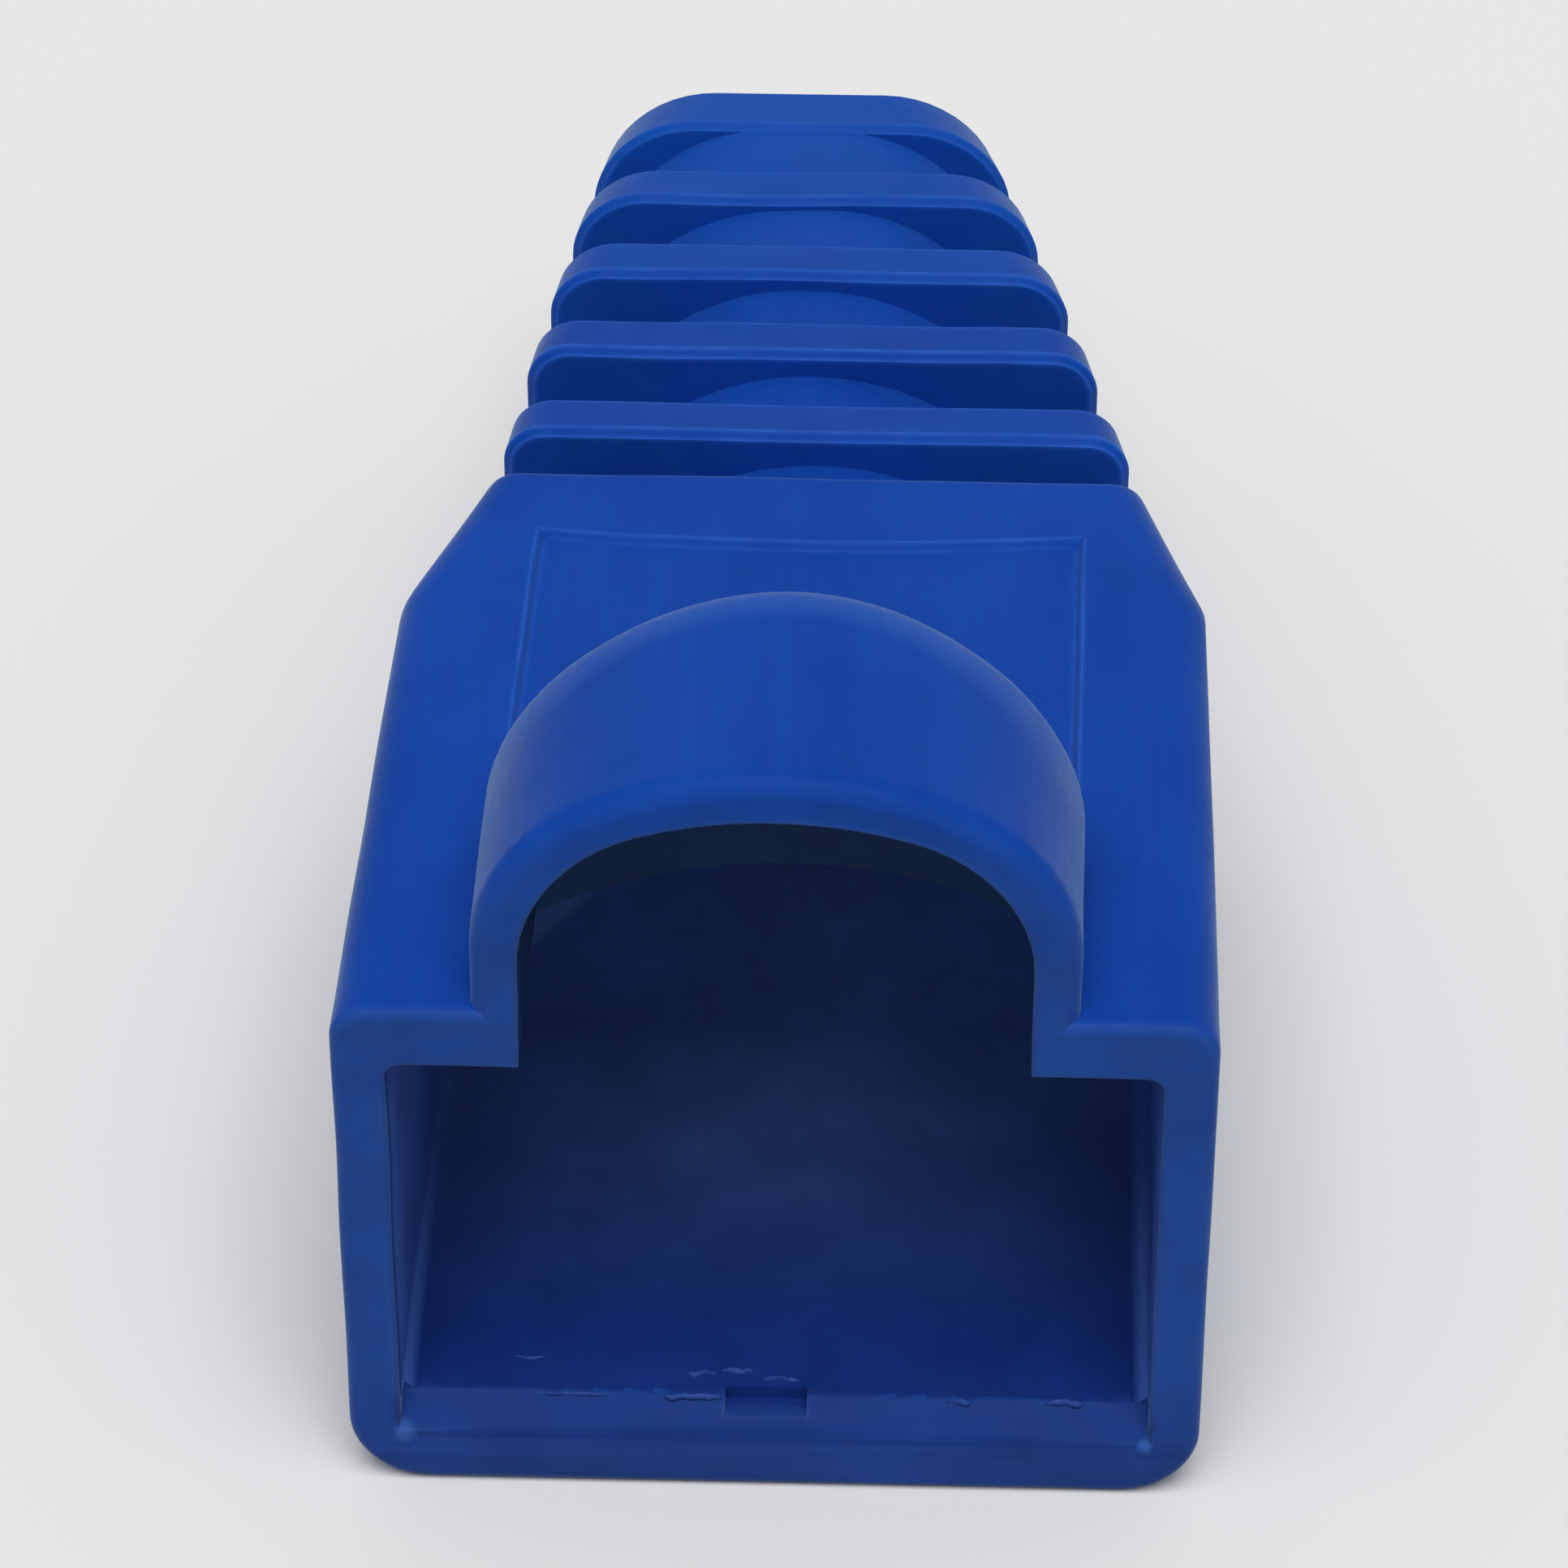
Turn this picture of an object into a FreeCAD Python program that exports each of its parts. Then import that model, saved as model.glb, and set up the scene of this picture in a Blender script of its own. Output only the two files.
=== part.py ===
import FreeCAD, Part
import math
import os

# Strain relief boot for an 8-way modular plug: one soft moulding, in millimetres.
# X is across, the mouth faces -Y, the cable leaves along +Y, and the flat bottom lies on Z = 0.
# It is built with the mouth at Y = 0 and then centred, so the origin is the middle of its footprint.

# What the boot fits
plug_width = 11.7
plug_height = 6.8
plug_clearance = 0.3
cable_radius = 2.85
cable_clearance = 0.15

# Sleeve round the plug
side_wall = 0.85
floor_wall = 1.6
roof_wall = 1.1
sleeve_length = 11.2
sleeve_draft = 0.12
shoulder_length = 3.52
shoulder_inset = 1.18
shoulder_radius = 2.2
bottom_corner_radius = 1.3
top_corner_radius = 0.6
cavity_corner_radius = 0.3
end_wall = 0.9
edge_radius = 0.2
mouth_edge_radius = 0.12

# Lead-in and witness notch on the floor's lip
lead_in = 0.5
notch_width = 1.35
notch_depth = 0.25
notch_reach = 0.2
notch_offset = -0.15

# Hood over the plug's latch
latch_space_width = 8.06
latch_space_height = 4.98
latch_arch_rise = 3.0
latch_haunch_radius = 2.8
hood_side_wall = 0.75
hood_crown_wall = 0.86
hood_arch_rise = 3.6
hood_haunch_radius = 3.2
hood_length = 5.25
hood_back_radius = 6.5
hood_back_wall = 0.85
hood_back_lean = 0.9
hood_edge_radius = 0.75
hood_rim_radius = 0.4

# Flexible panel behind the hood
panel_depth = 0.12
panel_slope = 0.12
panel_length = 7.35
panel_bow = 0.27
panel_margin = -0.2

# Ribbed tail
ring_count = 5
ring_thickness = 1.22
end_ring_thickness = 1.5
slot_width = 1.73
first_slot_width = 1.33
ring_edge = 0.15
tail_end_half_width = 3.85
tail_end_half_height = 3.7
tail_start_corner_radius = 0.75
tail_end_corner_radius = 2.3
tail_corner_growth = 2.5
slot_depth_at_sleeve = 0.7
core_end_wall = 0.66
core_start_flat = 0.05
core_end_flat = 0.75

# Worked out from the sizes above
cavity_width = plug_width + 2 * plug_clearance
cavity_height = plug_height + 2 * plug_clearance
bore_radius = cable_radius + cable_clearance
sleeve_width = cavity_width + 2 * side_wall
roof_underside = floor_wall + cavity_height
sleeve_height = roof_underside + roof_wall
body_length = sleeve_length + shoulder_length
tail_axis_height = sleeve_height / 2
tail_start_half_width = sleeve_width / 2 - sleeve_draft - shoulder_inset
tail_start_half_height = sleeve_height / 2
pitch = slot_width + ring_thickness
tail_length = first_slot_width + (ring_count - 1) * pitch + end_ring_thickness
overall_length = body_length + tail_length
latch_half_width = latch_space_width / 2
latch_crown = roof_underside + latch_space_height
latch_spring = latch_crown - latch_arch_rise
hood_half_width = latch_half_width + hood_side_wall
hood_crown = latch_crown + hood_crown_wall
hood_spring = hood_crown - hood_arch_rise
hood_back_centre = hood_length - hood_back_radius
hood_side_length = hood_back_centre + math.sqrt(hood_back_radius ** 2 - hood_half_width ** 2)
core_start_half = tail_start_half_height - slot_depth_at_sleeve
core_end_half = bore_radius + core_end_wall
cavity_length = sleeve_length - end_wall
past = 1.0
tolerance = 1e-3


def vector(x, y, z):
    return FreeCAD.Vector(x, y, z)


def face_of(edges):
    return Part.Face(Part.Wire(edges))


def line(start, end):
    return Part.makeLine(start, end)


def three_centred_arch(half_width, rise, haunch, y, z):
    """Three arcs that run from the right spring over the crown to the left spring."""
    drop = ((half_width - haunch) ** 2 - (rise - haunch) ** 2) / (2 * (rise - haunch))
    crown_radius = rise + drop
    side = half_width - haunch
    turn = math.atan2(drop, side)
    join_x = crown_radius * math.cos(turn)
    join_z = z - drop + crown_radius * math.sin(turn)
    bulge_x = side + haunch * math.cos(turn / 2)
    bulge_z = z + haunch * math.sin(turn / 2)
    right = Part.Arc(vector(half_width, y, z), vector(bulge_x, y, bulge_z),
                     vector(join_x, y, join_z))
    top = Part.Arc(vector(join_x, y, join_z), vector(0, y, z + rise), vector(-join_x, y, join_z))
    left = Part.Arc(vector(-join_x, y, join_z), vector(-bulge_x, y, bulge_z),
                    vector(-half_width, y, z))
    return [right.toShape(), top.toShape(), left.toShape()]


def rounded_rectangle(half_width, half_height, radius, y, z):
    """A wire across the boot, its centre at height z, with rounded corners."""
    turns = []
    corners = [(1, 1), (-1, 1), (-1, -1), (1, -1)]
    for index, (right, up) in enumerate(corners):
        centre = vector(right * (half_width - radius), y, z + up * (half_height - radius))
        start = math.pi / 2 * index
        points = []
        for share in (0, 0.5, 1):
            angle = start + share * math.pi / 2
            points.append(centre + vector(radius * math.cos(angle), 0, radius * math.sin(angle)))
        turns.append(points)
    edges = []
    for index, points in enumerate(turns):
        following = turns[(index + 1) % len(turns)]
        edges.append(Part.Arc(*points).toShape())
        edges.append(line(points[-1], following[0]))
    return Part.Wire(edges)


def loft(*wires):
    return Part.makeLoft(list(wires), True, True)


def on_plane(edge, y):
    box = edge.BoundBox
    return abs(box.YMin - y) < tolerance and abs(box.YMax - y) < tolerance


def sleeve():
    """The outer block round the plug, with its shoulders drawn in towards the tail."""
    front = sleeve_width / 2
    waist = front - sleeve_draft
    back = tail_start_half_width
    outline = [
        (-front, 0), (front, 0), (waist, sleeve_length), (back, body_length),
        (-back, body_length), (-waist, sleeve_length), (-front, 0),
    ]
    wire = Part.makePolygon([vector(x, y, 0) for x, y in outline])
    block = Part.Face(wire).extrude(vector(0, 0, sleeve_height))
    shoulders = [
        edge for edge in block.Edges
        if on_plane(edge, sleeve_length) and edge.BoundBox.ZLength > sleeve_height / 2
    ]
    block = block.makeFillet(shoulder_radius, shoulders)
    for height, radius in ((0, bottom_corner_radius), (sleeve_height, top_corner_radius)):
        rails = [
            edge for edge in block.Edges
            if edge.BoundBox.ZLength < tolerance
            and abs(edge.BoundBox.ZMax - height) < tolerance
            and edge.BoundBox.YLength > tolerance
        ]
        block = block.makeFillet(radius, rails)
    rims = [edge for edge in block.Edges if on_plane(edge, 0) or on_plane(edge, body_length)]
    return block.makeFillet(edge_radius, rims)


def tunnel(half_width, base, spring, crown, haunch, start, end):
    """An arched bar along the boot: straight sides under a three-centred arch."""
    left_foot = vector(-half_width, start, base)
    right_foot = vector(half_width, start, base)
    left_spring = vector(-half_width, start, spring)
    right_spring = vector(half_width, start, spring)
    over = three_centred_arch(half_width, crown - spring, haunch, start, spring)
    outline = face_of([line(left_foot, right_foot), line(right_foot, right_spring)] + over
                      + [line(left_spring, left_foot)])
    return outline.extrude(vector(0, end - start, 0))


def round_back(inset, base):
    """The upright cone that rounds the hood's back end and leans it forward."""
    top_radius = hood_back_radius - inset
    height = hood_crown + past - base
    slope = hood_back_lean / (hood_crown - roof_underside)
    low_radius = top_radius + slope * (hood_crown - base)
    high_radius = top_radius - slope * past
    return Part.makeCone(low_radius, high_radius, height, vector(0, hood_back_centre, base))


def hood():
    """The arched hump over the latch, with an eased edge round its back end."""
    base = roof_underside
    bar = tunnel(hood_half_width, base, hood_spring, hood_crown, hood_haunch_radius,
                 0, body_length)
    hump = bar.common(round_back(0, base))
    back_edges = [
        edge for edge in hump.Edges
        if edge.BoundBox.YMin > past and edge.BoundBox.ZMax > base + tolerance
    ]
    hump = hump.makeFillet(hood_edge_radius, back_edges)
    rim = [edge for edge in hump.Edges if on_plane(edge, 0) and edge.BoundBox.ZMax > base + tolerance]
    return hump.makeFillet(hood_rim_radius, rim)


def panel_outline(rise):
    """The flexible panel's outline at a height above its floor; its edges slope outwards."""
    growth = panel_slope * rise / panel_depth
    half = hood_half_width + panel_margin + growth
    front = hood_side_length - growth
    middle = hood_length + panel_length + growth
    side = middle + panel_bow
    height = sleeve_height - panel_depth + rise
    corners = [vector(-half, side, height), vector(-half, front, height),
               vector(half, front, height), vector(half, side, height)]
    back = Part.Arc(corners[3], vector(0, middle, height), corners[0]).toShape()
    return Part.Wire([line(corners[0], corners[1]), line(corners[1], corners[2]),
                      line(corners[2], corners[3]), back])


def flex_panel():
    """The shallow recess behind the hood that lets the hood be pressed down."""
    return loft(panel_outline(0), panel_outline(panel_depth + past))


def tail_section(y, inset):
    """The tail's outline at one place along it, drawn in by an inset all round."""
    share = (y - body_length) / tail_length
    half_width = tail_start_half_width + share * (tail_end_half_width - tail_start_half_width)
    half_height = tail_start_half_height + share * (tail_end_half_height - tail_start_half_height)
    rounding = share ** tail_corner_growth
    radius = (tail_start_corner_radius
              + rounding * (tail_end_corner_radius - tail_start_corner_radius))
    return rounded_rectangle(half_width - inset, half_height - inset, radius - inset,
                             y, tail_axis_height)


def ring(start, end):
    """One rib of the tail, with its front and back edges eased."""
    return loft(
        tail_section(start, ring_edge),
        tail_section(start + ring_edge, 0),
        tail_section(end - ring_edge, 0),
        tail_section(end, ring_edge),
    )


def core_section(y):
    """The core's outline: round at the sleeve, squarer towards the cable's exit."""
    share = max(0, (y - body_length) / tail_length)
    half = core_start_half + share * (core_end_half - core_start_half)
    flat = core_start_flat + share ** tail_corner_growth * (core_end_flat - core_start_flat)
    return rounded_rectangle(half, half, half - flat, y, tail_axis_height)


def tail():
    """The core with its ribs; the core's sections lie inside the sleeve's end and the ribs."""
    starts = [body_length + first_slot_width + index * pitch for index in range(ring_count)]
    ends = [start + ring_thickness for start in starts[:-1]] + [overall_length]
    middles = [(start + end) / 2 for start, end in zip(starts, ends)]
    stations = [body_length - end_wall] + middles
    core = [loft(core_section(near), core_section(far))
            for near, far in zip(stations, stations[1:])]
    ribs = [ring(start, end) for start, end in zip(starts, ends)]
    return core[0].multiFuse(core[1:] + ribs)


def plug_cavity():
    """The socket for the plug, and the throat that leads from it to the cable's bore."""
    middle = floor_wall + cavity_height / 2
    half_width = cavity_width / 2
    half_height = cavity_height / 2
    mouth = rounded_rectangle(half_width, half_height, cavity_corner_radius, -past, middle)
    inner = rounded_rectangle(half_width, half_height, cavity_corner_radius, cavity_length, middle)
    throat = rounded_rectangle(bore_radius, bore_radius, cavity_corner_radius, body_length,
                               tail_axis_height)
    return loft(mouth, inner, throat)


def latch_space():
    """The hollow of the hood, open to the cavity below and to the mouth."""
    base = roof_underside - past
    bar = tunnel(latch_half_width, base, latch_spring, latch_crown, latch_haunch_radius,
                 -past, body_length)
    return bar.common(round_back(hood_back_wall, base))


def cable_bore():
    return Part.makeCylinder(bore_radius, overall_length + past - cavity_length,
                             vector(0, cavity_length, tail_axis_height), vector(0, 1, 0))


def lip_lead_in():
    """The slope on the floor's front edge that guides the plug in."""
    half_width = cavity_width / 2
    points = [(0, floor_wall - lead_in), (lead_in, floor_wall), (lead_in, floor_wall + past),
              (-past, floor_wall + past), (-past, floor_wall - lead_in - past)]
    wire = Part.makePolygon([vector(-half_width, y, z) for y, z in points + points[:1]])
    return Part.Face(wire).extrude(vector(2 * half_width, 0, 0))


def lip_notch():
    return Part.makeBox(notch_width, past + lead_in + notch_reach, past + notch_depth,
                        vector(notch_offset - notch_width / 2, -past, floor_wall - notch_depth))


def opening_edges(solid):
    """The edges of the mouth's face round the plug's socket and the latch's space."""
    found = []
    for edge in solid.Edges:
        box = edge.BoundBox
        reach = max(abs(box.XMin), abs(box.XMax)) - tolerance
        beside_plug = reach < cavity_width / 2 and box.ZMax - tolerance < roof_underside
        under_hood = reach < latch_half_width and box.ZMax - tolerance < latch_crown
        if on_plane(edge, 0) and box.ZMax > floor_wall and (beside_plug or under_hood):
            found.append(edge)
    return found


def boot():
    solid = sleeve().cut(flex_panel())
    solid = solid.multiFuse([hood(), tail()])
    hollow = [plug_cavity(), latch_space(), cable_bore(), lip_lead_in(), lip_notch()]
    solid = solid.cut(hollow).removeSplitter()
    return solid.makeFillet(mouth_edge_radius, opening_edges(solid))


os.makedirs("parts", exist_ok=True)
shape = boot()
shape.translate(vector(0, -overall_length / 2, 0))
shape.exportStep("parts/boot.step")
print("solids", len(shape.Solids), "valid", shape.isValid(), "volume", round(shape.Volume, 2))
print("box", shape.BoundBox)
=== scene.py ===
import math

import bmesh
import bpy
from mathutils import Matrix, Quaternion, Vector, noise


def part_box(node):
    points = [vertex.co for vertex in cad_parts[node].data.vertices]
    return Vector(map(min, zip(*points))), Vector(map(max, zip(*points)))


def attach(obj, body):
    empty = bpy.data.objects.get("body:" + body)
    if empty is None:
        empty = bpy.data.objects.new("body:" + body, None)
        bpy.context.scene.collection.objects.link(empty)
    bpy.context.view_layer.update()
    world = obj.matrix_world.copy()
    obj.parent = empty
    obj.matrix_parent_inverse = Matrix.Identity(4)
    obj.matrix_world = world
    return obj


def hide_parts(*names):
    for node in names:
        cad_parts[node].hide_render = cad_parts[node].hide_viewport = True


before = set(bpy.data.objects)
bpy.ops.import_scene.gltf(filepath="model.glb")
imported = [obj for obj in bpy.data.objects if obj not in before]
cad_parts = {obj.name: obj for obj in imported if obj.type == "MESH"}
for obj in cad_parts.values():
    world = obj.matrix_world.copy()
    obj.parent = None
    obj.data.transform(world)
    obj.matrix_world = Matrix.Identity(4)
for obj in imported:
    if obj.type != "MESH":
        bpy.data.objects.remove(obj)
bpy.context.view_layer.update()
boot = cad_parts["boot"]
boot_low, boot_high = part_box("boot")

# Lengths are in millimetres unless a comment says otherwise. Depths are measured back from the
# mouth's face, and heights up from the flat bottom.
MM = 0.001

# The boot's own places, which the skin and its materials follow
BODY_END = 14.72
AXIS = 5.05
FLOOR = 1.6
HOOD_BACK_SHIFT = 1.25
HOOD_BACK_SLOPE = 0.154
HOOD_BACK_OUTSIDE = 8.785
HOOD_BACK_MIDDLE = 8.37

# How far the soft moulding bends to one side
NECK_SHIFT = 0.30
BODY_BOW = 0.05
TAIL_LEAN = -0.045
NECK_EASE = 0.5

# How finely the skin is cut, and how it waves
CELL = 0.5
CUT_TOLERANCE = 1e-7
SKIN_WELD = 1e-6
WOBBLE = 0.03
WOBBLE_SIZE = 2.6
WOBBLE_SEEDS = [Vector((3.1, 7.7, 1.9)), Vector((13.4, 2.6, 8.3)), Vector((6.8, 17.2, 11.5))]
WOBBLE_FULL_HEIGHT = 2.0

# Edges sharper than this stay sharp, in degrees; the lip's bevel is kept softer
SHARP_ANGLE = 32
LIP_SHARP_ANGLE = 50
LIP_BACK = 1.0
LIP_BOTTOM = 0.8
LIP_TOP = FLOOR + 0.2

# Where the walls of the hollow lie
BORE_FROM = 14.45
BORE_TO = 29.25
BORE_REACH = 3.3
THROAT_END = 14.77
THROAT_REACH = 4.3
MOUTH_EDGE = 0.13
LEAD_IN_BACK = 0.55
LEAD_IN_TOP = FLOOR + 0.1
SOCKET_HALF = 6.5
SOCKET_TOP = 9.5
SOCKET_NARROWS_FROM = 11.2
SOCKET_NARROWING = 0.45
ARCH_HALF = 4.4
ARCH_SPRING = 11.1
ARCH_RISE = 3.31
ARCH_POWER = 2.3

# Slivers of flash, as (x, depth, height, length, width, how far it stands up)
GATE_SCAR = [
    (-1.22, 1.02, FLOOR, 0.50, 0.16, 0.07),
    (-0.62, 1.06, FLOOR, 0.55, 0.12, 0.09),
    (0.10, 0.90, FLOOR, 0.62, 0.12, 0.08),
    (-4.09, 1.30, FLOOR, 0.54, 0.14, 0.05),
]
LIP_FLASH = [
    (-1.35, 0.46, FLOOR, 0.95, 0.12, 0.06),
    (3.05, 0.46, FLOOR, 0.42, 0.14, 0.07),
    (4.78, 0.48, FLOOR, 0.62, 0.14, 0.08),
    (-3.30, 0.47, FLOOR, 1.30, 0.08, 0.03),
]
SLIVER_SUNK = 0.05
SLIVER_STATIONS = 14
SLIVER_SIDES = 7
SLIVER_BLUNTNESS = 0.4
SLIVER_WAVES = 2.5
SLIVER_SEED_STEP = 3.7
SLIVER_SEED_DEPTH = 0.4
FLASH_WELD = 1e-8

# How a sliver's width, height and place waver: (middle, swing, fineness, seed)
WIDTH_WAVER = (0.75, 0.5, 3.0, Vector((0, 0, 0)))
HEIGHT_WAVER = (0.75, 0.6, 4.0, Vector((5.0, 0, 0)))
PLACE_WAVER = (0.0, 0.5, 1.5, Vector((0, 9.0, 0)))

# Witnesses of two ejector pins on the mouth's face, shown as painted highlights, as (x, height,
# radius)
PIPS = [(-6.09, 1.05, 0.24), (6.11, 1.07, 0.16)]
PIP_CORE = 0.4

# The camera: its angles in degrees, its target and distance, and its lens
CAMERA_YAW = 1.470
CAMERA_ELEVATION = 38.199
CAMERA_ROLL = 0.180
CAMERA_TARGET = Vector((-0.116, -4.675, 6.948))
CAMERA_DISTANCE = 110.649
CAMERA_LENS = 148.4
CAMERA_SENSOR = 36.0

# The studio, in metres and watts
CLIP_NEAR = 0.001
CLIP_FAR = 20.0
GROUND_HALF = 3.0
GROUND_LEVEL = -0.01 * MM
KEY_PLACE = (0.04, -0.60, 1.44)
KEY_SIZE = 1.04
KEY_POWER = 17.8
WORLD_LIGHT = 0.42
WORLD_SEEN = 0.62
WHITE = (1, 1, 1, 1)
GROUND_SEEN = (0.80, 0.80, 0.80, 1)
GROUND_LIT = (0.45, 0.45, 0.45, 1)
GROUND_ROUGHNESS = 0.9
GROUND_SPECULAR = 0.1

# Colours of the plastic, in linear light
BLUE = (0.0024, 0.043, 0.305, 1)
BLUE_CLOUD = (0.0040, 0.056, 0.370, 1)
BLUE_STREAK = (0.0060, 0.064, 0.395, 1)
BLUE_TAIL = (0.0060, 0.080, 0.420, 1)
# Painted sheen along the hood's rounded back edge
BLUE_CREST_SHEEN = (0.0300, 0.104, 0.430, 1)
# Pale colour on outer edges: partly wear, partly a painted highlight
BLUE_WORN_HIGHLIGHT = (0.0300, 0.150, 0.680, 1)
# Painted shade and painted reflection on the face round the mouth, darker at the bottom
FACE_SHADE_LOW = (0.0150, 0.051, 0.248, 1)
FACE_SHADE_HIGH = (0.0158, 0.069, 0.320, 1)
FACE_LIP = (0.0100, 0.041, 0.218, 1)
# Pale colour on the mouth's edges: partly wear, partly a painted highlight
FACE_WORN_HIGHLIGHT = (0.0420, 0.090, 0.300, 1)
# Painted highlight on the ejector-pin witnesses
PIP_HIGHLIGHT_COLOUR = (0.0420, 0.120, 0.430, 1)
INSIDE_EDGE = (0.0140, 0.060, 0.290, 1)
# The hollow's painted light and shade: darker near the mouth and on the hood's inner back wall,
# paler with depth and on the side walls
INSIDE_FRONT_SHADE = (0.0070, 0.029, 0.188, 1)
INSIDE_DEEP_LIGHT = (0.105, 0.215, 0.540, 1)
INSIDE_END_LIGHT = (0.150, 0.290, 0.640, 1)
INSIDE_SIDES_LIGHT = (0.072, 0.172, 0.600, 1)
INSIDE_HOOD_SHADE = (0.0155, 0.044, 0.125, 1)
TORN_DULL = (0.0110, 0.042, 0.225, 1)
TORN_PALE = (0.0250, 0.078, 0.310, 1)
SHEEN_TINT = (0.55, 0.85, 1.0, 1)

# How much of a colour its mask lets through
STREAK_SHARE = 0.35
WORN_HIGHLIGHT_SHARE = 0.80
TAIL_SHARE = 0.5
CREST_SHEEN_SHARE = 0.72
FACE_TOP_SHARE = 0.3
FACE_SHARE = 0.9
FACE_WORN_HIGHLIGHT_SHARE = 0.75
FACE_LINE_SHADE = 0.12
PIP_HIGHLIGHT_SHARE = 0.8
SIDES_SHARE = 0.8
MOTTLE_SHADES = (0.86, 1.14)

# Gloss: roughness, how much it varies and how much rubbing lowers it, specular and sheen
OUTSIDE_ROUGHNESS = 0.47
INSIDE_ROUGHNESS = 0.60
ROUGHNESS_SWING = 0.07
RUBBED_GLOSS = 0.08
TORN_ROUGHNESS = (0.60, 0.42)
OUTSIDE_SPECULAR = 0.04
INSIDE_SPECULAR = 0.06
TORN_SPECULAR = 0.12
SHEEN = 0.22
SHEEN_ROUGHNESS = 0.40

# Noise as (features per metre, detail, roughness) and a warp if it has one. A stretched noise
# has one feature to each unit, and its three scales are the units per metre.
CLOUDS = (260.0, 3.0, 0.55)
MOTTLE = (520.0, 4.0, 0.6)
SATIN = (600.0, 4.0, 0.6)
WEAR_HIGHLIGHT_PATCHES = (900.0, 3.0, 0.6)
PEEL = (1100.0, 2.0, 0.5)
GRAIN = (7000.0, 2.0, 0.6)
TORN_PATCHES = (2600.0, 3.0, 0.6)
TORN_GRAIN = (9000.0, 2.0, 0.6)
STREAKS = (1.0, 3.0, 0.6, 0.6)
STREAK_SCALES = (1500.0, 130.0, 1500.0)
FACE_LINES = (1.0, 1.0, 0.5)
FACE_LINE_SCALES = (160.0, 400.0, 5200.0)

# The part of a noise's values that is stretched to full contrast
EVEN_SPAN = (0.3, 0.7)
STREAK_SPAN = (0.45, 0.75)
WEAR_HIGHLIGHT_SPAN = (0.30, 0.62)
WEAR_HIGHLIGHT_LEAST = 0.4
TORN_SPAN = (0.35, 0.65)

# Relief of the finest surface, as (strength, height in metres)
PEEL_RELIEF = (1.0, 0.012 * MM)
GRAIN_RELIEF = (0.8, 0.006 * MM)
TORN_RELIEF = (0.8, 0.01 * MM)

# Edges that are worn and painted pale as a painted highlight: their reach in metres, how far the
# surface turns there, and the open sky that tells an outer edge from a corner
WEAR_HIGHLIGHT_REACH = 0.16 * MM
WEAR_HIGHLIGHT_SAMPLES = 6
WEAR_HIGHLIGHT_TURN = (0.995, 0.93)
SKY_REACH = 0.35 * MM
SKY_SAMPLES = 4
SKY_OPEN = (0.80, 0.97)

# Where each detail starts and is full, by depth, height or distance across
TAIL_DEPTHS = (20.0, 29.0)
CREST_SHEEN_BAND = (1.10, 0.50)
CREST_SHEEN_HEIGHTS = (10.8, 12.2)
LIP_LOW_HEIGHTS = (0.95, 1.05)
LIP_HIGH_HEIGHTS = (1.9, 1.7)
LIP_DEPTHS = (0.75, 0.5)
LIP_SIDES = (6.35, 6.2)
FACE_DEPTHS = (0.22, 0.04)
FACE_HEIGHTS = (14.5, 11.0)
FACE_COLOUR_HEIGHTS = (0.4, 2.4)
FACE_LINE_HEIGHTS = (1.5, 1.2)
FACE_WORN_HIGHLIGHT_DEPTHS = (0.5, 0.2)
PIP_DEPTHS = (0.3, 0.2)
EDGE_DEPTHS = (0.2, 0.6)
# Where the hollow's painted light and shade grows and fades
HOLLOW_LIGHT_DEPTHS = (1.5, 11.0)
HOLLOW_LIGHT_POWER = 1.7
HOLLOW_LIGHT_FADE_DEPTHS = (22.0, 15.0)
END_DEPTHS = (10.0, 13.5)
SIDES_ACROSS = (5.9, 6.1)
HOOD_SHADE_HEIGHTS = (8.5, 8.9)
HOOD_SHADE_DEPTHS = (7.0, 5.5)


def lean(depth):
    """How far to the right the soft moulding lies, at a depth behind its mouth."""
    share = max(depth / BODY_END, 0.0)
    if share < 1.0:
        return NECK_SHIFT * share ** 2 + BODY_BOW * math.sin(math.pi * share)
    past = depth - BODY_END
    turn = (2 * NECK_SHIFT - math.pi * BODY_BOW) / BODY_END - TAIL_LEAN
    return NECK_SHIFT + TAIL_LEAN * past + turn * NECK_EASE * (1 - math.exp(-past / NECK_EASE))


def cut_across(bm, axis):
    """Cuts every face that an even set of planes crosses, so the skin can bend and wave."""
    low, high = boot_low[axis], boot_high[axis]
    count = math.ceil((high - low) / (CELL * MM))
    for index in range(1, count):
        at = Vector((0, 0, 0))
        at[axis] = low + (high - low) * index / count
        normal = Vector((0, 0, 0))
        normal[axis] = 1
        everything = bm.verts[:] + bm.edges[:] + bm.faces[:]
        bmesh.ops.bisect_plane(bm, geom=everything, dist=CUT_TOLERANCE, plane_co=at,
                               plane_no=normal)


def is_inside(x, depth, height):
    """Whether a place on the unbent moulding's surface is on a wall of its hollow."""
    if depth > BORE_FROM:
        from_axis = math.hypot(x, height - AXIS)
        in_throat = depth < THROAT_END and from_axis < THROAT_REACH
        return in_throat or (depth < BORE_TO and from_axis < BORE_REACH)
    on_lead_in = depth < LEAD_IN_BACK and height < LEAD_IN_TOP
    if depth < MOUTH_EDGE or height < LIP_BOTTOM or on_lead_in:
        return False
    narrowing = SOCKET_NARROWING * max(depth - SOCKET_NARROWS_FROM, 0.0)
    if abs(x) + narrowing < SOCKET_HALF and height < SOCKET_TOP:
        return True
    arch = ((abs(x) / ARCH_HALF) ** ARCH_POWER
            + (max(height - ARCH_SPRING, 0.0) / ARCH_RISE) ** ARCH_POWER)
    back = HOOD_BACK_MIDDLE - HOOD_BACK_SLOPE * height
    return arch < 1.0 and math.hypot(x, depth + HOOD_BACK_SHIFT) < back


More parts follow.
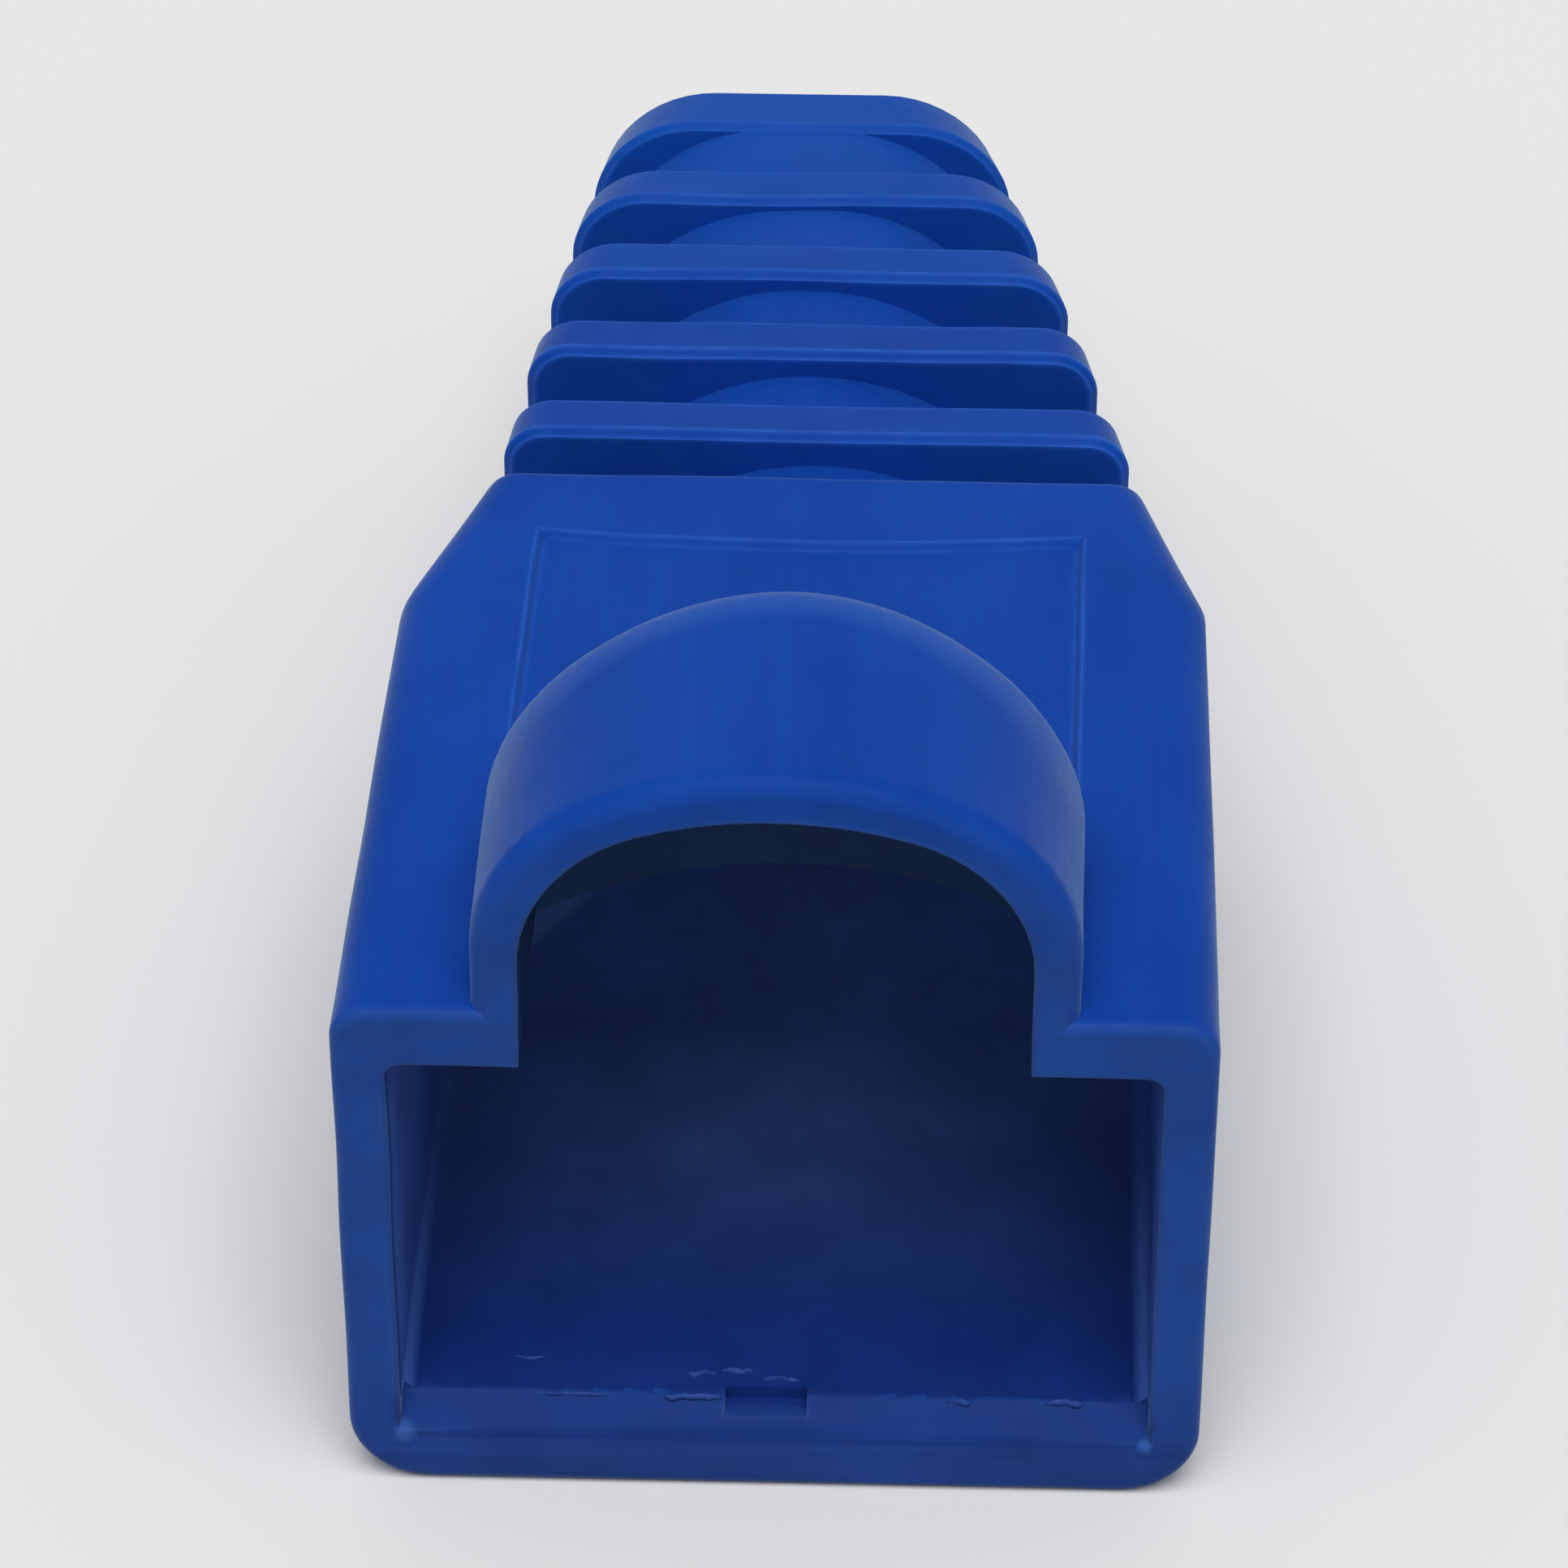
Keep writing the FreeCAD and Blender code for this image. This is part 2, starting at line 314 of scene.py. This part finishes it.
def boot_skin():
    """The moulding as it really lies: the CAD surface, cut fine, bent and gently waved."""
    front = boot_low.y / MM
    data = bpy.data.meshes.new("boot_skin")
    bm = bmesh.new()
    bm.from_mesh(boot.data)
    bmesh.ops.remove_doubles(bm, verts=bm.verts, dist=SKIN_WELD)
    for axis in range(3):
        cut_across(bm, axis)
    bmesh.ops.triangulate(bm, faces=bm.faces)
    for vert in bm.verts:
        place = vert.co / MM
        wave = Vector([noise.noise(place / WOBBLE_SIZE + seed) for seed in WOBBLE_SEEDS])
        share = min(1.0, place.z / WOBBLE_FULL_HEIGHT)
        moved = place + wave * WOBBLE * share
        moved.x += lean(place.y - front)
        vert.co = Vector([min(max(c * MM, a), b) for c, a, b in zip(moved, boot_low, boot_high)])
    for face in bm.faces:
        face.smooth = True
        middle = face.calc_center_median() / MM
        depth = middle.y - front
        face.material_index = int(is_inside(middle.x - lean(depth), depth, middle.z))
    for edge in bm.edges:
        middle = (edge.verts[0].co + edge.verts[1].co) / (2 * MM)
        on_lip = middle.y < front + LIP_BACK and LIP_BOTTOM < middle.z < LIP_TOP
        sharp_from = LIP_SHARP_ANGLE if on_lip else SHARP_ANGLE
        edge.smooth = edge.calc_face_angle(0.0) < math.radians(sharp_from)
    bm.to_mesh(data)
    bm.free()
    skin = bpy.data.objects.new("boot_skin", data)
    bpy.context.scene.collection.objects.link(skin)
    weighted = skin.modifiers.new("even_normals", "WEIGHTED_NORMAL")
    weighted.keep_sharp = True
    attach(skin, "root")
    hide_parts("boot")
    return skin


def waver(at, middle, swing, fineness, seed):
    """A share that wanders about its middle from place to place."""
    return middle + swing * noise.noise(at * fineness + seed)


def sliver(bm, seed, x, depth, height, length, width, stands):
    """One low ridge of flash along X: a wavering hump whose foot is sunk in the wall."""
    rings = []
    for index in range(SLIVER_STATIONS + 1):
        share = index / SLIVER_STATIONS
        swell = math.sin(math.pi * share) ** SLIVER_BLUNTNESS if 0 < share < 1 else 0.0
        at = Vector((share * length * SLIVER_WAVES, seed, SLIVER_SEED_DEPTH))
        thick = width * swell * waver(at, *WIDTH_WAVER)
        tall = stands * swell * waver(at, *HEIGHT_WAVER)
        drift = width * waver(at, *PLACE_WAVER)
        ring = []
        for step in range(SLIVER_SIDES):
            angle = math.pi * step / (SLIVER_SIDES - 1)
            place = Vector((x + (share - 0.5) * length,
                            boot_low.y / MM + depth + drift - 0.5 * thick * math.cos(angle),
                            height - SLIVER_SUNK + (tall + SLIVER_SUNK) * math.sin(angle)))
            ring.append(bm.verts.new(place * MM))
        rings.append(ring)
    for near, far in zip(rings, rings[1:]):
        for step in range(SLIVER_SIDES):
            after = (step + 1) % SLIVER_SIDES
            bm.faces.new((near[step], near[after], far[after], far[step]))
    bm.faces.new(rings[0][::-1])
    bm.faces.new(rings[-1])


def flash(name, ridges, material):
    """A group of slivers of flash, as one piece."""
    bm = bmesh.new()
    for index, ridge in enumerate(ridges):
        sliver(bm, SLIVER_SEED_STEP * index, *ridge)
    bmesh.ops.remove_doubles(bm, verts=bm.verts, dist=FLASH_WELD)
    bmesh.ops.recalc_face_normals(bm, faces=bm.faces)
    for face in bm.faces:
        face.smooth = True
    data = bpy.data.meshes.new(name)
    bm.to_mesh(data)
    bm.free()
    data.materials.append(material)
    piece = bpy.data.objects.new(name, data)
    bpy.context.scene.collection.objects.link(piece)
    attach(piece, "root")


class Tree:
    """Short ways to add and join the nodes of a material or of the world."""

    def __init__(self, owner, shader="Principled BSDF"):
        owner.use_nodes = True
        self.nodes = owner.node_tree.nodes
        self.links = owner.node_tree.links
        self.shader = self.nodes[shader]

    def put(self, socket, value):
        """Gives a socket a constant, or a link from another node."""
        if isinstance(value, bpy.types.NodeSocket):
            self.links.new(value, socket)
        else:
            socket.default_value = value

    def shade(self, **inputs):
        """Sets the shader's own sockets; an underscore stands for a space."""
        for name, value in inputs.items():
            self.put(self.shader.inputs[name.replace("_", " ")], value)

    def add(self, kind, output=0, settings=None, **inputs):
        """Adds a node. Its inputs go by name, or by number as i0, i1 and so on."""
        made = self.nodes.new(kind)
        for name, value in (settings or {}).items():
            setattr(made, name, value)
        for name, value in inputs.items():
            numbered = name[0] == "i" and name[1:].isdigit()
            key = int(name[1:]) if numbered else name.replace("_", " ")
            self.put(made.inputs[key], value)
        return made.outputs[output]

    def math(self, operation, *values):
        made = self.nodes.new("ShaderNodeMath")
        made.operation = operation
        for index, value in enumerate(values):
            self.put(made.inputs[index], value)
        return made.outputs[0]

    def both(self, a, b):
        """The product of two numbers, which for two masks is the part that they share."""
        return self.math("MULTIPLY", a, b)

    def distance(self, a, b):
        """The length of the line that runs a one way and b the other."""
        return self.math("SQRT", self.math("ADD", self.both(a, a), self.both(b, b)))

    def ramp(self, value, low, high, start=0.0, end=1.0):
        return self.add("ShaderNodeMapRange", Value=value, From_Min=low, From_Max=high,
                        To_Min=start, To_Max=end)

    def noise(self, place, scale, detail, rough, warp=0.0):
        return self.add("ShaderNodeTexNoise", Vector=place, Scale=scale, Detail=detail,
                        Roughness=rough, Distortion=warp)

    def mix(self, share, a, b):
        return self.add("ShaderNodeMix", 2, {"data_type": "RGBA"}, i0=share, i6=a, i7=b)

    def relief(self, noisy, strength, height, **below):
        return self.add("ShaderNodeBump", Strength=strength, Distance=height, Height=noisy,
                        **below)

    def stretched(self, place, scales):
        return self.add("ShaderNodeMapping", Vector=place, Scale=scales)

    def object_place(self):
        """The object's own coordinates, in metres."""
        return self.add("ShaderNodeTexCoord", 3)

    def measured(self, place):
        """The x, the depth and the height of a place, in millimetres."""
        made = self.nodes.new("ShaderNodeSeparateXYZ")
        scaled = self.add("ShaderNodeVectorMath", 0, {"operation": "SCALE"}, i0=place,
                          Scale=1 / MM)
        self.put(made.inputs[0], scaled)
        depth = self.math("SUBTRACT", made.outputs[1], boot_low.y / MM)
        return made.outputs[0], depth, made.outputs[2]

    def seen_directly(self):
        """1 for rays from the camera, straight or by way of gloss or of something clear."""
        rays = self.nodes.new("ShaderNodeLightPath").outputs
        indirect = self.math("MAXIMUM", rays["Is Glossy Ray"], rays["Is Transmission Ray"])
        return self.math("MAXIMUM", rays["Is Camera Ray"], indirect)


def plain_colour(tree, place):
    """Slow clouding, with faint streaks along the flow."""
    cloud = tree.ramp(tree.noise(place, *CLOUDS), *EVEN_SPAN)
    colour = tree.mix(cloud, BLUE, BLUE_CLOUD)
    along = tree.stretched(place, STREAK_SCALES)
    streak = tree.ramp(tree.noise(along, *STREAKS), *STREAK_SPAN, 0.0, STREAK_SHARE)
    return tree.mix(streak, colour, BLUE_STREAK)


def worn_and_highlit_edges(tree, place):
    """1 on outer edges, in patches, and 0 on the flats and in corners: partly wear, partly a
    painted highlight.
    """
    eased = tree.add("ShaderNodeBevel", settings={"samples": WEAR_HIGHLIGHT_SAMPLES}, Radius=WEAR_HIGHLIGHT_REACH)
    flat = tree.add("ShaderNodeNewGeometry", 1)
    turned = tree.add("ShaderNodeVectorMath", 1, {"operation": "DOT_PRODUCT"},
                      i0=eased, i1=flat)
    patchy = tree.ramp(tree.noise(place, *WEAR_HIGHLIGHT_PATCHES), *WEAR_HIGHLIGHT_SPAN, WEAR_HIGHLIGHT_LEAST, 1.0)
    open_sky = tree.add("ShaderNodeAmbientOcclusion", 1,
                        {"samples": SKY_SAMPLES, "only_local": True}, Distance=SKY_REACH)
    edge = tree.both(tree.ramp(turned, *WEAR_HIGHLIGHT_TURN), patchy)
    return tree.both(edge, tree.ramp(open_sky, *SKY_OPEN))


def hood_crest_sheen(tree, x, depth, height):
    """1 on the rounded edge along the hood's back end, which carries a painted sheen."""
    reach = tree.distance(x, tree.math("ADD", depth, HOOD_BACK_SHIFT))
    back = tree.math("SUBTRACT", HOOD_BACK_OUTSIDE, tree.both(height, HOOD_BACK_SLOPE))
    band = tree.ramp(tree.math("SUBTRACT", back, reach), *CREST_SHEEN_BAND)
    return tree.both(band, tree.ramp(height, *CREST_SHEEN_HEIGHTS))


def pip_highlight(tree, x, depth, height, at_x, at_height, radius):
    """The witness of an ejector pin on the mouth's face, shown as a painted highlight."""
    away = tree.distance(tree.math("SUBTRACT", x, at_x),
                         tree.math("SUBTRACT", height, at_height))
    return tree.both(tree.ramp(away, radius, radius * PIP_CORE), tree.ramp(depth, *PIP_DEPTHS))


def mottled(tree, place, colour, extra=1.0):
    """The colour with uneven lightness, and one more share of shade."""
    mottle = tree.ramp(tree.noise(place, *MOTTLE), *EVEN_SPAN, *MOTTLE_SHADES)
    shade = tree.both(mottle, extra)
    grey = tree.add("ShaderNodeCombineXYZ", X=shade, Y=shade, Z=shade)
    return tree.add("ShaderNodeVectorMath", 0, {"operation": "MULTIPLY"}, i0=colour, i1=grey)


def finish(tree, place, wear_and_highlight, dull):
    """Satin over a slow orange peel and spark-eroded grain, glossier where it is rubbed."""
    rough = tree.ramp(tree.noise(place, *SATIN), *EVEN_SPAN, dull - ROUGHNESS_SWING,
                      dull + ROUGHNESS_SWING)
    peel = tree.relief(tree.noise(place, *PEEL), *PEEL_RELIEF)
    grain = tree.relief(tree.noise(place, *GRAIN), *GRAIN_RELIEF, Normal=peel)
    tree.shade(Roughness=tree.math("SUBTRACT", rough, tree.both(wear_and_highlight, RUBBED_GLOSS)),
               Normal=grain)


def mouth_face_shade(tree, place, x, depth, height):
    """The face round the mouth and its lip, in painted shade and painted reflection: where it
    is, and its darker, greyer colour, darkest at the bottom.
    """
    across = tree.math("ABSOLUTE", x)
    lip = tree.both(tree.both(tree.ramp(height, *LIP_LOW_HEIGHTS),
                              tree.ramp(height, *LIP_HIGH_HEIGHTS)),
                    tree.both(tree.ramp(depth, *LIP_DEPTHS), tree.ramp(across, *LIP_SIDES)))
    front = tree.ramp(depth, *FACE_DEPTHS)
    face = tree.both(front, tree.ramp(height, *FACE_HEIGHTS, FACE_TOP_SHARE, FACE_SHARE))
    grey = tree.mix(tree.ramp(height, *FACE_COLOUR_HEIGHTS), FACE_SHADE_LOW, FACE_SHADE_HIGH)
    grey = tree.mix(lip, grey, FACE_LIP)
    lines = tree.ramp(tree.noise(tree.stretched(place, FACE_LINE_SCALES), *FACE_LINES),
                      *EVEN_SPAN, -FACE_LINE_SHADE, FACE_LINE_SHADE)
    lines = tree.both(tree.both(front, tree.ramp(height, *FACE_LINE_HEIGHTS)), lines)
    shaded = mottled(tree, place, grey, tree.math("ADD", 1.0, lines))
    return tree.math("MAXIMUM", lip, face), shaded


def soft_plastic():
    """The outside: satin blue PVC, with painted shade and painted reflection on the face round
    the mouth.
    """
    material = bpy.data.materials.new("soft_plastic")
    tree = Tree(material)
    place = tree.object_place()
    x, depth, height = tree.measured(place)
    wear_and_highlight = worn_and_highlit_edges(tree, place)
    colour = plain_colour(tree, place)
    # Outer edges painted pale: partly wear, partly a painted highlight
    colour = tree.mix(tree.both(wear_and_highlight, WORN_HIGHLIGHT_SHARE), colour, BLUE_WORN_HIGHLIGHT)
    colour = tree.mix(tree.ramp(depth, *TAIL_DEPTHS, 0.0, TAIL_SHARE), colour, BLUE_TAIL)
    # A painted sheen along the hood's back edge
    crest_sheen = tree.both(hood_crest_sheen(tree, x, depth, height), CREST_SHEEN_SHARE)
    colour = tree.mix(crest_sheen, colour, BLUE_CREST_SHEEN)

    # Painted shade and painted reflection on the face round the mouth
    face_shade_mask, face_shade_colour = mouth_face_shade(tree, place, x, depth, height)
    colour = tree.mix(face_shade_mask, colour, face_shade_colour)
    # The mouth's edges painted pale: partly wear, partly a painted highlight
    face_wear_and_highlight = tree.both(wear_and_highlight, tree.ramp(depth, *FACE_WORN_HIGHLIGHT_DEPTHS))
    colour = tree.mix(tree.both(face_wear_and_highlight, FACE_WORN_HIGHLIGHT_SHARE), colour, FACE_WORN_HIGHLIGHT)
    # Ejector-pin witnesses painted pale as painted highlights
    pip_highlights = tree.math("MAXIMUM", *[pip_highlight(tree, x, depth, height, *at) for at in PIPS])
    colour = tree.mix(tree.both(pip_highlights, PIP_HIGHLIGHT_SHARE), colour, PIP_HIGHLIGHT_COLOUR)

    finish(tree, place, wear_and_highlight, OUTSIDE_ROUGHNESS)
    tree.shade(Base_Color=colour, Specular_IOR_Level=OUTSIDE_SPECULAR, Sheen_Weight=SHEEN,
               Sheen_Roughness=SHEEN_ROUGHNESS, Sheen_Tint=SHEEN_TINT)
    return material


def inner_plastic():
    """The hollow: the core pins leave it dull; painted shade darkens it near the mouth and on
    the hood's inner back wall, and painted light pales it with depth and on the side walls.
    """
    material = bpy.data.materials.new("inner_plastic")
    tree = Tree(material)
    place = tree.object_place()
    x, depth, height = tree.measured(place)
    wear_and_highlight = worn_and_highlit_edges(tree, place)
    across = tree.math("ABSOLUTE", x)
    # Painted light and shade in the hollow, paler with depth, darker under the hood
    deeper = tree.math("POWER", tree.ramp(depth, *HOLLOW_LIGHT_DEPTHS), HOLLOW_LIGHT_POWER)
    hollow_light_and_shade = tree.mix(deeper, INSIDE_FRONT_SHADE, INSIDE_DEEP_LIGHT)
    hollow_light_and_shade = tree.mix(tree.ramp(depth, *END_DEPTHS), hollow_light_and_shade, INSIDE_END_LIGHT)
    hollow_light_and_shade = tree.mix(tree.ramp(across, *SIDES_ACROSS, 0.0, SIDES_SHARE), hollow_light_and_shade, INSIDE_SIDES_LIGHT)
    hood_shade = tree.both(tree.ramp(height, *HOOD_SHADE_HEIGHTS), tree.ramp(depth, *HOOD_SHADE_DEPTHS))
    hollow_light_and_shade = mottled(tree, place, tree.mix(hood_shade, hollow_light_and_shade, INSIDE_HOOD_SHADE))
    colour = tree.mix(tree.ramp(depth, *EDGE_DEPTHS), INSIDE_EDGE, hollow_light_and_shade)
    fade = tree.ramp(depth, *HOLLOW_LIGHT_FADE_DEPTHS)
    finish(tree, place, wear_and_highlight, INSIDE_ROUGHNESS)
    tree.shade(Base_Color=tree.mix(fade, plain_colour(tree, place), colour),
               Specular_IOR_Level=INSIDE_SPECULAR)
    return material


def torn_plastic():
    """The same plastic where it tore from the mould: paler and rougher."""
    material = bpy.data.materials.new("worn_plastic")
    tree = Tree(material)
    place = tree.object_place()
    patchy = tree.ramp(tree.noise(place, *TORN_PATCHES), *TORN_SPAN)
    grain = tree.relief(tree.noise(place, *TORN_GRAIN), *TORN_RELIEF)
    tree.shade(Base_Color=tree.mix(patchy, TORN_DULL, TORN_PALE),
               Roughness=tree.ramp(patchy, 0.0, 1.0, *TORN_ROUGHNESS),
               Specular_IOR_Level=TORN_SPECULAR, Normal=grain)
    return material


def camera():
    """The camera looks down at the mouth, at the photograph's angle."""
    yaw, elevation = math.radians(CAMERA_YAW), math.radians(CAMERA_ELEVATION)
    roll = Quaternion((0, 0, 1), math.radians(CAMERA_ROLL))
    level = math.cos(elevation)
    forward = Vector((-math.sin(yaw) * level, math.cos(yaw) * level, -math.sin(elevation)))
    data = bpy.data.cameras.new("camera")
    data.lens = CAMERA_LENS
    data.sensor_width = CAMERA_SENSOR
    data.clip_start = CLIP_NEAR
    data.clip_end = CLIP_FAR
    made = bpy.data.objects.new("camera", data)
    bpy.context.scene.collection.objects.link(made)
    made.location = CAMERA_TARGET * MM - forward * (CAMERA_DISTANCE * MM)
    made.rotation_mode = "QUATERNION"
    made.rotation_quaternion = forward.to_track_quat("-Z", "Y") @ roll
    bpy.context.scene.camera = made


def softbox(name, place, size, power):
    """A square lamp that faces the boot."""
    data = bpy.data.lights.new(name, "AREA")
    data.shape = "SQUARE"
    data.size = size
    data.energy = power
    made = bpy.data.objects.new(name, data)
    bpy.context.scene.collection.objects.link(made)
    made.location = place
    made.rotation_mode = "QUATERNION"
    made.rotation_quaternion = (-Vector(place)).to_track_quat("-Z", "Y")


def ground():
    """A pale floor that throws back less light than it shows."""
    half, level = GROUND_HALF, GROUND_LEVEL
    corners = [(-half, -half, level), (half, -half, level), (half, half, level),
               (-half, half, level)]
    data = bpy.data.meshes.new("floor")
    data.from_pydata(corners, [], [(0, 1, 2, 3)])
    floor = bpy.data.objects.new("floor", data)
    bpy.context.scene.collection.objects.link(floor)
    material = bpy.data.materials.new("floor")
    tree = Tree(material)
    tree.shade(Base_Color=tree.mix(tree.seen_directly(), GROUND_LIT, GROUND_SEEN),
               Roughness=GROUND_ROUGHNESS, Specular_IOR_Level=GROUND_SPECULAR)
    data.materials.append(material)


def sky():
    """Even white light from all round, which shows brighter than it lights."""
    world = bpy.data.worlds.new("studio")
    tree = Tree(world, "Background")
    tree.shade(Color=WHITE,
               Strength=tree.ramp(tree.seen_directly(), 0.0, 1.0, WORLD_LIGHT, WORLD_SEEN))
    bpy.context.scene.world = world


skin = boot_skin()
skin.data.materials.append(soft_plastic())
skin.data.materials.append(inner_plastic())
torn = torn_plastic()
flash("gate_scar", GATE_SCAR, torn)
flash("lip_flash", LIP_FLASH, torn)
camera()
ground()
sky()
softbox("key", KEY_PLACE, KEY_SIZE, KEY_POWER)
bpy.context.scene.view_settings.view_transform = "Standard"
